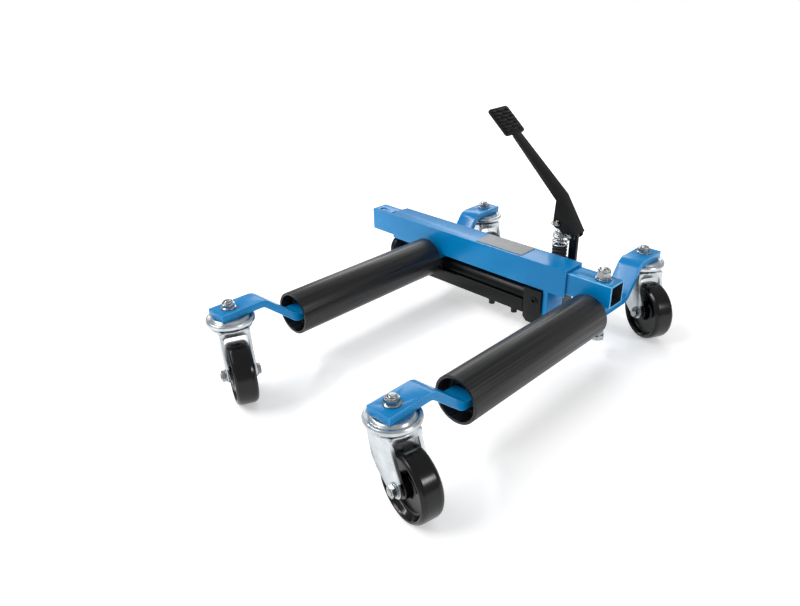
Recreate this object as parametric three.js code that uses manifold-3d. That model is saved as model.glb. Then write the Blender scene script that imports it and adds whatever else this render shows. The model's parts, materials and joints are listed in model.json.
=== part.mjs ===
// Wheel dolly: a telescopic crossbar carries two bent arms. Each arm has a free turning roller in
// front and a swivel caster at both ends. A foot pumped ram draws the two arms together, so the
// rollers squeeze under a tyre and lift it.
// Millimetres. +X runs along the crossbar, +Y to the back, +Z up. Dimensions are taken from the
// crossbar's left end, its front face and the floor; the last lines move the origin to the middle.
import * as THREE from 'three';
import { mergeVertices } from 'three/addons/utils/BufferGeometryUtils.js';
import Module from 'manifold-3d';

const wasm = await Module();
wasm.setup();

// ---- driving dimensions ----
const gap = 0.3;                 // clearance kept between pieces that touch
const wheelRadius = 51.2;
const crownRise = 45.6;          // crossbar's top above the wheels
const crossbarTop = 2 * wheelRadius + crownRise;
const up = (below) => crossbarTop - below;


const outerSize = 50;            // outer square tube
const outerWall = 4.5;
const outerLength = 482;
const tongueTop = 36.4;          // width of the top wall left at the trimmed left end
const tongueTopLength = 51;
const tongueFloorCut = 6;        // taken off the tube's bottom at the trimmed left end
const tongueSide = outerSize - tongueFloorCut;   // height of the front wall left there
const tongueSideLength = 60;
const pinHole = 7;               // radius of the round hole in the trimmed end
const pinHoleX = 17;
const slotX = 49.5;              // narrow slot across the trimmed end
const slotWidth = 4;
const slotLength = 14;

const labelEdges = [[281, 5], [386, 5], [386, 48], [281, 48]];
const labelThickness = 0.8;

const slideFit = 0.5;            // play between the two crossbar tubes
const innerWall = 3;
const innerLeft = 30;
const innerRight = outerLength + 84;

const closeTravel = 25;          // crossbar slide, towards the closed dolly
const openTravel = 85;           // crossbar slide, towards the open dolly

const armWidth = 40;             // flat bar of the two arms
const armThickness = 12;
const armLeftX = 172;
const armRightX = outerLength + 56;
const casterFrontY = -462;
const casterRearY = 162;
const armFrontTip = casterFrontY - 24;
const armRearTip = casterRearY + 26;
const armBendRadius = 18;
const gooseneckTop = casterFrontY + 53;       // front bend, upper and lower corner of the centre line
const gooseneckFoot = -350;
const riseFoot = 80;             // rear bend, lower and upper corner of the centre line
const riseTop = 117;

const clampRadius = 7;           // bolt that clamps the right arm under the inner tube
const clampHead = 24;            // across the flats
const clampNutHeight = 16;
const clampHeadHeight = 9;
const clampWasher = 3;
const clampWasherRadius = 13.5;
const clampBoltEnd = 4;          // bolt above its nut
const sleeveLength = 45;         // sleeve between the right arm and the bolt's head
const sleeveWall = 4;

const wheelWidth = 34;
const wheelSides = 24;
const casterTrail = 37;
const swivelAngles = { front_left: -22, front_right: -11, rear_left: -25, rear_right: -29 };
const stemNutHead = 18;          // across the flats
const stemNutHeight = 11;
const axleHead = 17;             // across the flats
const racewayRadius = 38;
const racewayHeight = 10.5;
const forkTopDrop = 18;          // fork's top plate below the arm
const forkSheet = 3;
const forkInside = 41;           // between the fork's legs
const stemRadius = 6;
const axleRadius = 6;

const rollerRadius = 37;
const rollerWall = 4.5;
const rollerFront = -346.5;
const rollerRear = -15;
const hubRadius = 25;            // fixed journal that the roller's bush turns on
const hubLength = 14;
const hubInset = 22;             // from the roller's end to its bush

const ramAxisZ = up(outerSize + armThickness + 17);             // ram below the crossbar
const barrelRadius = 22;
const barrelWall = 4;
const barrelLeft = 194;
const glandLeft = 152;           // the barrel's neck reaches under the left arm
const glandRadius = 15.5;
const cradleLeft = 158;
const ramRodRadius = 10;
const crossheadRadius = 27;
const crossheadX = 52;
const crossheadThickness = 12;
const lugWidth = 16;
const cradleSheet = 4;
const cradleTop = ramAxisZ - 1;
const cradlePlay = 3;            // between the barrel and the cradle's walls
const cradleOverhang = barrelRadius + cradlePlay + cradleSheet - outerSize / 2;

const blockLeft = outerLength - 80;   // pump block
const blockRight = outerLength - 42.5;
const blockBottom = ramAxisZ - 41;
const blockChamfer = 8;
const bracketThickness = 10;
const bracketFoot = ramAxisZ - 19;
const bossRadius = 18;           // round boss of the block that takes the plunger
const earThickness = 7;          // the block's two ears that carry the link
const valveX = outerLength - 58;
const valveBelow = 74;           // release valve below the crossbar's top
const valveRadius = 6;
const valveDepth = 18;
const valveSocket = 6;           // across the flats

const plungerX = outerLength - 69;
const plungerY = outerSize + 35;
const plungerRadius = 7;
const plungerStroke = 15;
const bootRadius = 14;
const bootBottom = up(22);
const bootTop = bootBottom + 26;
const springTop = bootTop + 24;
const springRadius = 14;
const springWire = 2.6;
const springTurns = 3.5;
const retainerRadius = 13;
const pinRadius = 4;
const plungerPinZ = springTop + 21;

const fulcrumX = outerLength - 41;    // pin at the top of the swinging link
const fulcrumZ = plungerPinZ - 17.5;
const linkFootZ = up(outerSize + 14);
const linkWidth = 15;
const linkThickness = 8;

const leverSheet = 3;
const leverWidth = 30;           // outside of the lever's channel, from its bend down
const leverNeck = [-10, 12];     // its two faces at the pad, from the plunger's middle
// Corners of the lever's outer face, seen from the front, from the fulcrum and the plunger's pin.
const leverBend = [fulcrumX - 29, plungerPinZ + 48];
const leverFoot = [fulcrumX + 11, fulcrumZ + 4.5];
const padTop = [fulcrumX - 183.3, plungerPinZ + 182];
const padLength = 62.5;
const padWidth = 54.6;
const padThickness = 5;
const padBars = 7;
const padBarHeight = 1;
const openPivotPlay = 1.6;       // the lever's hole is this much larger than the plunger's pin

// ---- finishes ----
const finish = (color, roughness, metalness) => (
  new THREE.MeshStandardMaterial({ color, roughness, metalness })
);
const bluePaint = () => finish(0x1e88d0, 0.4, 0.0);
const blackCoat = () => finish(0x1b1c1e, 0.45, 0.1);
const zinc = () => finish(0xc9ccce, 0.3, 1.0);
const steel = () => finish(0x9a9da0, 0.35, 1.0);
const blackPlastic = () => finish(0x141416, 0.35, 0.0);
const plateGrey = () => finish(0xb9b6b0, 0.5, 0.2);

// ---- solids ----
function toSolid(geometry) {
  const bare = geometry.index ? geometry.toNonIndexed() : geometry.clone();
  bare.deleteAttribute('normal');
  bare.deleteAttribute('uv');
  const merged = mergeVertices(bare, 1e-4);
  const vertProperties = new Float32Array(merged.attributes.position.array);
  const triVerts = new Uint32Array(merged.index.array);
  return new wasm.Manifold(new wasm.Mesh({ numProp: 3, vertProperties, triVerts }));
}

function toGeometry(solid) {
  const mesh = solid.getMesh();
  const geometry = new THREE.BufferGeometry();
  geometry.setAttribute('position', new THREE.BufferAttribute(new Float32Array(mesh.vertProperties), 3));
  geometry.setIndex(new THREE.BufferAttribute(new Uint32Array(mesh.triVerts), 1));
  geometry.computeVertexNormals();
  return geometry;
}

const join = (first, ...rest) => rest.reduce((whole, piece) => whole.add(piece), first);
const cut = (first, ...rest) => rest.reduce((whole, piece) => whole.subtract(piece), first);

function block(x0, x1, y0, y1, z0, z1) {
  const geometry = new THREE.BoxGeometry(x1 - x0, y1 - y0, z1 - z0);
  geometry.translate((x0 + x1) / 2, (y0 + y1) / 2, (z0 + z1) / 2);
  return toSolid(geometry);
}

// A right handed frame whose third axis is the one that a length runs along.
const frames = {
  x: [new THREE.Vector3(0, 1, 0), new THREE.Vector3(0, 0, 1), new THREE.Vector3(1, 0, 0)],
  y: [new THREE.Vector3(0, 0, 1), new THREE.Vector3(1, 0, 0), new THREE.Vector3(0, 1, 0)],
  z: [new THREE.Vector3(1, 0, 0), new THREE.Vector3(0, 1, 0), new THREE.Vector3(0, 0, 1)],
};

function alongAxis(geometry, axis, at) {
  geometry.applyMatrix4(new THREE.Matrix4().makeBasis(...frames[axis]));
  geometry.translate(...at);
  return geometry;
}

// A turned piece: profile points are [radius, distance along the axis], anticlockwise in that plane.
function turned(profile, axis = 'z', at = [0, 0, 0], sides = 16) {
  const points = profile.map(([radius, along]) => new THREE.Vector2(radius, along));
  const geometry = new THREE.LatheGeometry(points, sides, Math.PI / sides);
  geometry.rotateX(Math.PI / 2);
  return toSolid(alongAxis(geometry, axis, at));
}

function rod(radius, from, to, axis, at, sides = 12) {
  return turned([[0, from], [radius, from], [radius, to], [0, to]], axis, at, sides);
}

function ring(outer, inner, from, to, axis, at, sides = 24) {
  return turned([[inner, from], [outer, from], [outer, to], [inner, to], [inner, from]], axis, at, sides);
}

const hexagon = (acrossFlats, from, to, axis, at) => rod(acrossFlats / Math.sqrt(3), from, to, axis, at, 6);

function outline(points) {
  return new THREE.Shape(points.map(([a, b]) => new THREE.Vector2(a, b)));
}

// Extrudes an outline drawn in the Y-Z plane along X.
function extrudeYZ(shape, x0, x1) {
  const geometry = new THREE.ExtrudeGeometry(shape, { depth: x1 - x0, bevelEnabled: false, curveSegments: 8 });
  return toSolid(alongAxis(geometry, 'x', [x0, 0, 0]));
}

// Extrudes an outline drawn in the X-Z plane along Y.
function extrudeXZ(shape, y0, y1) {
  const geometry = new THREE.ExtrudeGeometry(shape, { depth: y1 - y0, bevelEnabled: false, curveSegments: 6 });
  const basis = [new THREE.Vector3(1, 0, 0), new THREE.Vector3(0, 0, 1), new THREE.Vector3(0, -1, 0)];
  geometry.applyMatrix4(new THREE.Matrix4().makeBasis(...basis));
  geometry.translate(0, y1, 0);
  return toSolid(geometry);
}

// The centre line through corner points, with each corner rounded to the same radius.
function roundedPath(corners, radius, steps = 5) {
  const points = [new THREE.Vector2(...corners[0])];
  for (let i = 1; i < corners.length - 1; i += 1) {
    const corner = new THREE.Vector2(...corners[i]);
    const back = new THREE.Vector2(...corners[i - 1]).sub(corner).normalize();
    const ahead = new THREE.Vector2(...corners[i + 1]).sub(corner).normalize();
    const half = Math.acos(back.dot(ahead)) / 2;
    const reach = radius / Math.tan(half);
    const centre = back.clone().add(ahead).normalize().multiplyScalar(radius / Math.sin(half)).add(corner);
    const start = back.multiplyScalar(reach).add(corner).sub(centre);
    const end = ahead.multiplyScalar(reach).add(corner).sub(centre);
    const turn = Math.atan2(start.cross(end), start.dot(end));
    for (let step = 0; step <= steps; step += 1) {
      points.push(start.clone().rotateAround(new THREE.Vector2(), (turn * step) / steps).add(centre));
    }
  }
  points.push(new THREE.Vector2(...corners[corners.length - 1]));
  return points;
}

// The outline of a bar of constant thickness that follows a path.
function barOutline(path, thickness) {
  const sides = [[], []];
  path.forEach((point, i) => {
    const before = path[Math.max(i - 1, 0)];
    const after = path[Math.min(i + 1, path.length - 1)];
    const into = point.clone().sub(i ? before : point).normalize();
    const out = after.clone().sub(i < path.length - 1 ? point : before).normalize();
    const tangent = (i ? into : out).clone().add(i < path.length - 1 ? out : into).normalize();
    const stretch = 1 / Math.max(tangent.dot(i ? into : out), 0.5);
    const normal = new THREE.Vector2(-tangent.y, tangent.x).multiplyScalar((thickness / 2) * stretch);
    sides[0].push(point.clone().add(normal));
    sides[1].unshift(point.clone().sub(normal));
  });
  return new THREE.Shape([...sides[1], ...sides[0]]);
}

function piece(name, solid, material) {
  const mesh = new THREE.Mesh(toGeometry(solid), material);
  mesh.name = name;
  return mesh;
}

// ---- crossbar ----
const crossbarMiddle = outerSize / 2;
const innerSize = outerSize - 2 * outerWall - 2 * slideFit;
const innerInset = outerWall + slideFit;
const innerFloor = up(innerInset + innerSize);

function outerTube() {
  const bottom = up(outerSize);
  const inner = { y0: outerWall, y1: outerSize - outerWall, z0: bottom + outerWall, z1: up(outerWall) };
  const tube = block(0, outerLength, 0, outerSize, bottom, crossbarTop);
  const bore = block(-1, outerLength + 1, inner.y0, inner.y1, inner.z0, inner.z1);
  const step = 3;
  const topTrim = [[-1, tongueTop], [tongueTopLength, tongueTop], [tongueTopLength + step, outerSize + 1]];
  const backCut = new THREE.ExtrudeGeometry(outline([...topTrim, [-1, outerSize + 1]]), {
    depth: outerSize + 2,
    bevelEnabled: false,
  });
  backCut.translate(0, 0, bottom - 1);
  const floorCut = block(-1, tongueSideLength, -1, outerSize + 1, bottom - 1, up(tongueSide));
  const holeY = tongueTop / 2 - 3;
  const hole = rod(pinHole, up(outerWall) - 1, crossbarTop + 1, 'z', [pinHoleX, holeY, 0]);
  const slot = block(
    slotX - slotWidth / 2, slotX + slotWidth / 2, holeY - slotLength / 2, holeY + slotLength / 2,
    up(outerWall) - 1, crossbarTop + 1,
  );
  const lugSlot = block(
    tongueSideLength - 1, crossheadX + crossheadThickness + openTravel + 2,
    crossbarMiddle - lugWidth / 2 - 1, crossbarMiddle + lugWidth / 2 + 1, bottom - 1, inner.z0 + 1,
  );
  return cut(tube, bore, toSolid(backCut), floorCut, hole, slot, lugSlot);
}

function innerTube() {
  const low = innerInset;
  const high = outerSize - innerInset;
  const tube = block(innerLeft, innerRight, low, high, innerFloor, up(innerInset));
  const bore = block(
    innerLeft - 1, innerRight + 1, low + innerWall, high - innerWall,
    innerFloor + innerWall, up(innerInset + innerWall),
  );
  return cut(tube, bore, clampHole(innerFloor - 1, crossbarTop));
}

const clampHole = (z0, z1) => rod(clampRadius + gap, z0, z1, 'z', [armRightX, crossbarMiddle, 0]);

function labelPlate() {
  const settings = { depth: labelThickness, bevelEnabled: false };
  const geometry = new THREE.ExtrudeGeometry(outline(labelEdges), settings);
  geometry.translate(0, 0, crossbarTop + gap);
  return toSolid(geometry);
}

// The plate that hangs from the crossbar and takes the pump block.
function endBracket() {
  const left = blockRight + gap;
  return block(left, left + bracketThickness, 0, outerSize, bracketFoot, up(outerSize) - gap);
}

// ---- arms ----
const armTop = up(outerSize) - gap;
const armLow = armTop - armThickness / 2;
const armHigh = crossbarTop - armThickness / 2;

function arm(x) {
  const corners = [
    [armFrontTip, armHigh], [gooseneckTop, armHigh], [gooseneckFoot, armLow],
    [riseFoot, armLow], [riseTop, armHigh], [armRearTip, armHigh],
  ];
  const side = barOutline(roundedPath(corners, armBendRadius), armThickness);
  const bar = extrudeYZ(side, -armWidth / 2, armWidth / 2);
  const stemHole = (y) => rod(stemRadius + gap, up(armThickness) - 2, crossbarTop + 2, 'z', [0, y, 0]);
  const solid = cut(bar, stemHole(casterFrontY), stemHole(casterRearY));
  return solid.translate([x, 0, 0]);
}

function armSpacer() {
  const half = armWidth / 2;
  const plate = block(
    armRightX - half, armRightX + half, innerInset, outerSize - innerInset, armTop + gap, innerFloor - gap,
  );
  return cut(plate, clampHole(armTop - 1, innerFloor + 1));
}

const sleeveTop = armTop - armThickness - gap;

function clampBolt() {
  const at = [armRightX, crossbarMiddle, 0];
  const headTop = sleeveTop - sleeveLength - gap;
  const head = hexagon(clampHead, headTop - clampHeadHeight, headTop, 'z', at);
  const end = up(innerInset) + clampWasher + clampNutHeight + clampBoltEnd;
  const shank = rod(clampRadius - 0.1, headTop - 1, end, 'z', at);
  return join(head, shank);
}

function clampNut() {
  const at = [armRightX, crossbarMiddle, 0];
  const seat = up(innerInset) + gap;
  const washer = rod(clampWasherRadius, seat, seat + clampWasher, 'z', at, 20);
  const nut = hexagon(clampHead, seat + clampWasher - 0.5, seat + clampWasher + clampNutHeight, 'z', at);
  return cut(join(washer, nut), rod(clampRadius + gap, seat - 1, seat + 30, 'z', at));
}

function clampSleeve() {
  const at = [armRightX, crossbarMiddle, 0];
  return ring(clampRadius + sleeveWall, clampRadius + gap, sleeveTop - sleeveLength, sleeveTop, 'z', at, 16);
}

// ---- rollers ----
const bushRadius = rollerRadius - rollerWall - gap;

function rollerTube() {
  return ring(rollerRadius, rollerRadius - rollerWall, rollerFront, rollerRear, 'y', [0, 0, 0]);
}

const hubStarts = { front: rollerFront + hubInset, rear: rollerRear - hubInset - hubLength };

function rollerBush(start) {
  return ring(bushRadius, hubRadius + gap, start, start + hubLength, 'y', [0, 0, 0]);
}

function rollerHub(start) {
  const disc = rod(hubRadius, start, start + hubLength, 'y', [0, 0, 0], 24);
  const half = armWidth / 2 + gap;
  const slot = block(
    -half, half, start - 1, start + hubLength + 1, -armThickness / 2 - gap, armThickness / 2 + gap,
  );
  return cut(disc, slot);
}

// ---- casters, drawn about the stem's axis with the wheel trailing towards +X ----
const armBottomAtTip = up(armThickness);
const axleHeight = wheelRadius * Math.cos(Math.PI / wheelSides);
const forkTop = up(forkTopDrop + armThickness) + forkSheet;
const forkHalf = forkInside / 2;

function raceway() {
  const top = armBottomAtTip - gap;
  const low = top - racewayHeight;
  return turned([
    [stemRadius + gap, low + 3], [racewayRadius - 9, low + 3], [racewayRadius - 8, low],
    [racewayRadius - 1.5, low], [racewayRadius, low + 2], [racewayRadius, low + 5.5],
    [racewayRadius - 3, top - 1], [racewayRadius - 9, top], [stemRadius + gap, top], [stemRadius + gap, low + 3],
  ], 'z', [0, 0, 0], 20);
}

function fork() {
  const seat = armBottomAtTip - gap - racewayHeight - gap;
  const low = forkTop - forkSheet;
  const cup = turned([
    [0, low], [racewayRadius - 5, low], [racewayRadius - 5, forkTop], [racewayRadius - 9, forkTop + 1],
    [racewayRadius - 9, seat], [0, seat],
  ], 'z', [0, 0, 0], 20);
  const back = -26;
  const front = 30;
  const bridgeTop = block(back + 2, front, -forkHalf - 1, forkHalf + 1, low, forkTop);
  const bridgeDepth = 14;
  const bridgeFront = block(front - forkSheet, front, -forkHalf - 1, forkHalf + 1, low - bridgeDepth, forkTop);
  const lug = 12;
  const legShape = new THREE.Shape();
  legShape.moveTo(back, forkTop);
  legShape.lineTo(back + 2, axleHeight + 48);
  legShape.lineTo(back + 9, axleHeight + 20);
  legShape.lineTo(back + 22, axleHeight + 5);
  legShape.lineTo(casterTrail - 22, axleHeight - 7);
  legShape.absarc(casterTrail, axleHeight, lug, Math.PI * 1.3, Math.PI * 2.02, false);
  legShape.lineTo(front - 2, forkTop - 8);
  legShape.lineTo(front - 2, forkTop);
  const nearLeg = extrudeXZ(legShape, -forkHalf - forkSheet, -forkHalf);
  const farLeg = extrudeXZ(legShape, forkHalf, forkHalf + forkSheet);
  const stemHole = rod(stemRadius + gap, low - 2, seat + 2, 'z', [0, 0, 0]);
  const axleHole = rod(axleRadius + gap, -forkHalf - 5, forkHalf + 5, 'y', [casterTrail, 0, axleHeight]);
  return cut(join(cup, bridgeTop, bridgeFront, nearLeg, farLeg), stemHole, axleHole);
}

const stemNutTop = crossbarTop + gap + stemNutHeight;

function stemBolt() {
  const headTop = forkTop - forkSheet - gap;
  const head = rod(11, headTop - 6, headTop, 'z', [0, 0, 0]);
  return join(head, rod(stemRadius - 0.1, headTop - 1, stemNutTop + 3.5, 'z', [0, 0, 0]));
}

function stemNut() {
  const seat = crossbarTop + gap;
  const flange = turned([[0, seat], [12, seat], [12, seat + 1.5], [10.2, seat + 3], [0, seat + 3]]);
  const nut = hexagon(stemNutHead, seat + 2, stemNutTop, 'z', [0, 0, 0]);
  return cut(join(flange, nut), rod(stemRadius + gap, seat - 1, stemNutTop + 1, 'z', [0, 0, 0]));
}

function axleBolt() {
  const face = forkHalf + forkSheet + gap;
  const at = [casterTrail, 0, axleHeight];
  const shank = rod(axleRadius - 0.1, -face - 9, face + 1, 'y', at);
  const head = hexagon(axleHead, face, face + 6, 'y', at);
  const nut = hexagon(axleHead, -face - 7, -face, 'y', at);
  return join(shank, head, nut);
}

function wheel() {
  const half = wheelWidth / 2;
  const bore = axleRadius + gap;
  const rim = wheelRadius - 6.5;
  const web = 5;
  const hub = 15;
  return turned([
    [bore, -half - 2], [hub, -half - 2], [hub, -web], [rim - 3, -web], [rim, -half], [wheelRadius - 3, -half],
    [wheelRadius, -half + 3], [wheelRadius, half - 3], [wheelRadius - 3, half], [rim, half],
    [rim - 3, web], [hub, web], [hub, half + 2], [bore, half + 2], [bore, -half - 2],
  ], 'y', [casterTrail, 0, axleHeight], wheelSides);
}

function caster(place, x, y) {
  const fixed = new THREE.Group();
  fixed.position.set(x, y, 0);
  fixed.add(piece(`raceway_${place}`, raceway(), zinc()));
  fixed.add(piece(`stem_bolt_${place}`, stemBolt(), zinc()));
  fixed.add(piece(`stem_nut_${place}`, stemNut(), zinc()));
  const swivelling = new THREE.Group();
  swivelling.rotation.z = THREE.MathUtils.degToRad(swivelAngles[place]);
  swivelling.add(piece(`fork_${place}`, fork(), zinc()));
  swivelling.add(piece(`axle_bolt_${place}`, axleBolt(), steel()));
  swivelling.add(piece(`wheel_${place}`, wheel(), blackPlastic()));
  fixed.add(swivelling);
  return fixed;
}

// ---- hydraulic ram ----
const ramAt = [0, crossbarMiddle, ramAxisZ];
const barrelBore = barrelRadius - barrelWall;
const barrelRight = blockLeft - gap;
const cradleBottom = ramAxisZ - barrelRadius - gap - cradleSheet;

function ramBarrel() {
  const wall = ring(barrelRadius, barrelBore, barrelLeft, barrelRight, 'x', ramAt);
  const cap = ring(barrelRadius - 1, ramRodRadius + gap, barrelLeft, barrelLeft + 16, 'x', ramAt);
  const neck = ring(glandRadius, ramRodRadius + gap, glandLeft, barrelLeft + 1, 'x', ramAt);
  return join(wall, cap, neck);
}

function barrelCradle() {
  const right = barrelRight - 1;
  const front = -cradleOverhang;
  const back = outerSize + cradleOverhang;
  const outer = block(cradleLeft, right, front, back, cradleBottom, cradleTop);
  const inside = block(
    cradleLeft - 1, right + 1, front + cradleSheet, back - cradleSheet,
    cradleBottom + cradleSheet, cradleTop + 1,
  );
  return cut(outer, inside);
}

// The ram's rod carries its piston inside the barrel, at the far left of its stroke when closed.
function ramRod() {
  const pistonLength = 18;
  const pistonLeft = barrelLeft + 16 + closeTravel + 3;
  const shaft = rod(ramRodRadius, crossheadX + crossheadThickness + gap, pistonLeft + 1, 'x', ramAt);
  const piston = turned([
    [0, pistonLeft], [barrelBore - gap, pistonLeft], [barrelBore - gap, pistonLeft + 6],
    [barrelBore - 2.5, pistonLeft + 6], [barrelBore - 2.5, pistonLeft + 11],
    [barrelBore - gap, pistonLeft + 11], [barrelBore - gap, pistonLeft + pistonLength],
    [0, pistonLeft + pistonLength],
  ], 'x', ramAt);
  return join(shaft, piston);
}

// A round plate on the rod's end, with a lug that reaches up to the inner tube.
function crosshead() {
  const disc = rod(crossheadRadius, crossheadX, crossheadX + crossheadThickness, 'x', ramAt, 24);
  const lug = block(
    crossheadX, crossheadX + crossheadThickness,
    crossbarMiddle - lugWidth / 2, crossbarMiddle + lugWidth / 2, ramAxisZ, innerFloor - gap,
  );
  return join(disc, lug);
}

// ---- pump ----
const blockTop = up(outerSize) - 3;
const plungerAt = [plungerX, plungerY, 0];

function pumpBlock() {
  const front = -cradleOverhang;
  const body = outline([
    [blockLeft + blockChamfer, blockBottom], [blockRight, blockBottom], [blockRight, blockTop],
    [blockLeft, blockTop], [blockLeft, blockBottom + blockChamfer],
  ]);
  const main = extrudeXZ(body, front, plungerY + bossRadius - 4);
  const boss = rod(bossRadius, blockBottom + 12, bootBottom - gap, 'z', plungerAt, 24);
  const earRight = fulcrumX + linkWidth / 2;
  const earGap = linkThickness / 2 + gap;
  const ear = (y0, y1) => block(blockRight - 2, earRight, y0, y1, linkFootZ - 12, blockTop);
  const backEar = ear(plungerY + earGap, plungerY + earGap + earThickness);
  const frontEar = ear(plungerY - earGap - earThickness, plungerY - earGap);
  const bore = rod(plungerRadius + gap, blockBottom + 22, bootBottom + 1, 'z', plungerAt);
  const valveAt = [valveX, 0, up(valveBelow)];
  const valveSeat = rod(valveRadius + gap, front - 1, front + valveDepth + 1, 'y', valveAt);
  const pinHole = rod(pinRadius + gap, plungerY - 20, plungerY + 20, 'y', [fulcrumX, 0, linkFootZ]);
  const linkRoom = block(
    fulcrumX - linkWidth / 2 - 2, earRight + 1, plungerY - earGap, plungerY + earGap,
    linkFootZ - 10, blockTop + 1,
  );
  return cut(join(main, boss, backEar, frontEar), bore, valveSeat, pinHole, linkRoom);
}

function releaseValve() {
  const front = -cradleOverhang - 2;
  const at = [valveX, 0, up(valveBelow)];
  const screw = rod(valveRadius, front, front + valveDepth, 'y', at);
  return cut(screw, hexagon(valveSocket, front - 1, front + 6, 'y', at));
}

function plungerBoot() {
  const ribs = 4;
  const pitch = (bootTop - bootBottom) / ribs;
  const profile = [[plungerRadius + gap + 0.5, bootBottom]];
  for (let rib = 0; rib < ribs; rib += 1) {
    const low = bootBottom + rib * pitch;
    profile.push([bootRadius - 2.5, low], [bootRadius, low + pitch * 0.35], [bootRadius, low + pitch * 0.65]);
  }
  profile.push([bootRadius - 2.5, bootTop], [plungerRadius + gap + 0.5, bootTop], profile[0]);
  return turned(profile, 'z', plungerAt);
}

const retainerBottom = springTop + gap;
const retainerTop = retainerBottom + 4;
const eyeHalf = 7;

function plungerRod() {
  const rodBottom = blockBottom + 22 + plungerStroke + 6;
  const shaft = rod(plungerRadius, rodBottom, retainerTop + 2, 'z', plungerAt);
  const eyeTop = plungerPinZ + eyeHalf;
  const eye = block(
    plungerX - eyeHalf, plungerX + eyeHalf, plungerY - eyeHalf, plungerY + eyeHalf, retainerTop + gap, eyeTop,
  );
  const hole = rod(pinRadius + gap, plungerY - 20, plungerY + 20, 'y', [plungerX, 0, plungerPinZ]);
  return cut(join(shaft, eye), hole);
}

function springRetainer() {
  return turned([
    [plungerRadius + gap, retainerBottom], [retainerRadius, retainerBottom],
    [retainerRadius, retainerTop - 1], [retainerRadius - 2, retainerTop], [plungerRadius + gap, retainerTop],
    [plungerRadius + gap, retainerBottom],
  ], 'z', plungerAt);
}

class Helix extends THREE.Curve {
  constructor(radius, from, to, turns) {
    super();
    Object.assign(this, { radius, from, to, turns });
  }

  getPoint(t, target = new THREE.Vector3()) {
    const angle = t * this.turns * 2 * Math.PI;
    const z = this.from + (this.to - this.from) * t;
    return target.set(this.radius * Math.cos(angle), this.radius * Math.sin(angle), z);
  }
}

function returnSpring() {
  const half = springWire / 2;
  const path = new Helix(springRadius, bootTop + gap + half + 0.2, springTop - half - 0.2, springTurns);
  const section = new THREE.Shape().absarc(0, 0, half, 0, 2 * Math.PI);
  const steps = Math.round(springTurns * 14);
  const geometry = new THREE.ExtrudeGeometry(section, { extrudePath: path, steps, curveSegments: 3 });
  geometry.translate(...plungerAt);
  return toSolid(geometry);
}

const pinHalf = leverWidth / 2 + 5;

function plungerPin() {
  return rod(pinRadius, plungerY - pinHalf, plungerY + pinHalf, 'y', [plungerX, 0, plungerPinZ]);
}

// ---- pedal ----
function fulcrumLink() {
  const half = linkWidth / 2;
  const shape = new THREE.Shape();
  shape.absarc(fulcrumX, fulcrumZ, half, 0, Math.PI, false);
  shape.absarc(fulcrumX, linkFootZ, half, Math.PI, 2 * Math.PI, false);
  const bar = extrudeXZ(shape, plungerY - linkThickness / 2, plungerY + linkThickness / 2);
  const hole = (z) => rod(pinRadius + gap, plungerY - 20, plungerY + 20, 'y', [fulcrumX, 0, z]);
  return cut(bar, hole(fulcrumZ), hole(linkFootZ));
}

function fulcrumPin() {
  return rod(pinRadius, plungerY - pinHalf, plungerY + pinHalf, 'y', [fulcrumX, 0, fulcrumZ]);
}

function linkFootPin() {
  const half = linkThickness / 2 + gap + earThickness + 3;
  return rod(pinRadius, plungerY - half, plungerY + half, 'y', [fulcrumX, 0, linkFootZ]);
}

const armDirection = new THREE.Vector2(padTop[0] - leverBend[0], padTop[1] - leverBend[1]).normalize();
const armNormal = new THREE.Vector2(armDirection.y, -armDirection.x);   // towards the pad's tread
const leverLength = Math.hypot(padTop[0] - leverBend[0], padTop[1] - leverBend[1]);
const onArm = (along, off) => [
  leverBend[0] + armDirection.x * along - armNormal.x * off,
  leverBend[1] + armDirection.y * along - armNormal.y * off,
];

// A pressed channel: a web on the outer side and two cheeks that carry the pins. It narrows to the pad.
function pedalLever() {
  const neck = leverLength - padLength + 2;
  const half = leverWidth / 2;
  const lobe = pinRadius + openPivotPlay + 3;
  const cheek = new THREE.Shape();
  cheek.moveTo(...onArm(neck, 0));
  cheek.lineTo(...onArm(neck, 5));
  cheek.lineTo(...onArm(0, 9));
  cheek.absarc(plungerX, plungerPinZ, lobe + 1, Math.PI, Math.PI * 1.6, false);
  cheek.absarc(fulcrumX, fulcrumZ, lobe, Math.PI * 1.4, Math.PI * 2.1, false);
  cheek.lineTo(...leverFoot);
  cheek.lineTo(...leverBend);
  const insideFoot = [leverFoot[0] - 2.2, leverFoot[1] - 1.5];
  const hollow = outline([
    onArm(neck + 1, leverSheet), [leverBend[0] - 2, leverBend[1] - 2.5], insideFoot,
    [leverFoot[0] + 12, leverFoot[1] - 30], [plungerX - 40, leverFoot[1] - 30], onArm(neck + 1, 40),
  ]);
  const [neckX] = onArm(neck, 0);
  const plan = (inset) => {
    const shape = outline([
      [leverFoot[0] + 20, -half + inset], [leverFoot[0] + 20, half - inset], [leverBend[0], half - inset],
      [neckX - 1, leverNeck[1] - inset], [neckX - 1, leverNeck[0] + inset], [leverBend[0], -half + inset],
    ]);
    const prism = new THREE.ExtrudeGeometry(shape, { depth: padTop[1], bevelEnabled: false });
    return toSolid(prism.translate(0, plungerY, 0));
  };
  const front = plungerY - half;
  const back = plungerY + half;
  const body = extrudeXZ(cheek, front, back).intersect(plan(0));
  const room = extrudeXZ(hollow, front, back).intersect(plan(leverSheet));
  const hole = (x, z, radius) => rod(radius, front - 1, back + 1, 'y', [x, 0, z]);
  return cut(
    body, room,
    hole(plungerX, plungerPinZ, pinRadius + openPivotPlay), hole(fulcrumX, fulcrumZ, pinRadius + gap),
  );
}

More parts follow.
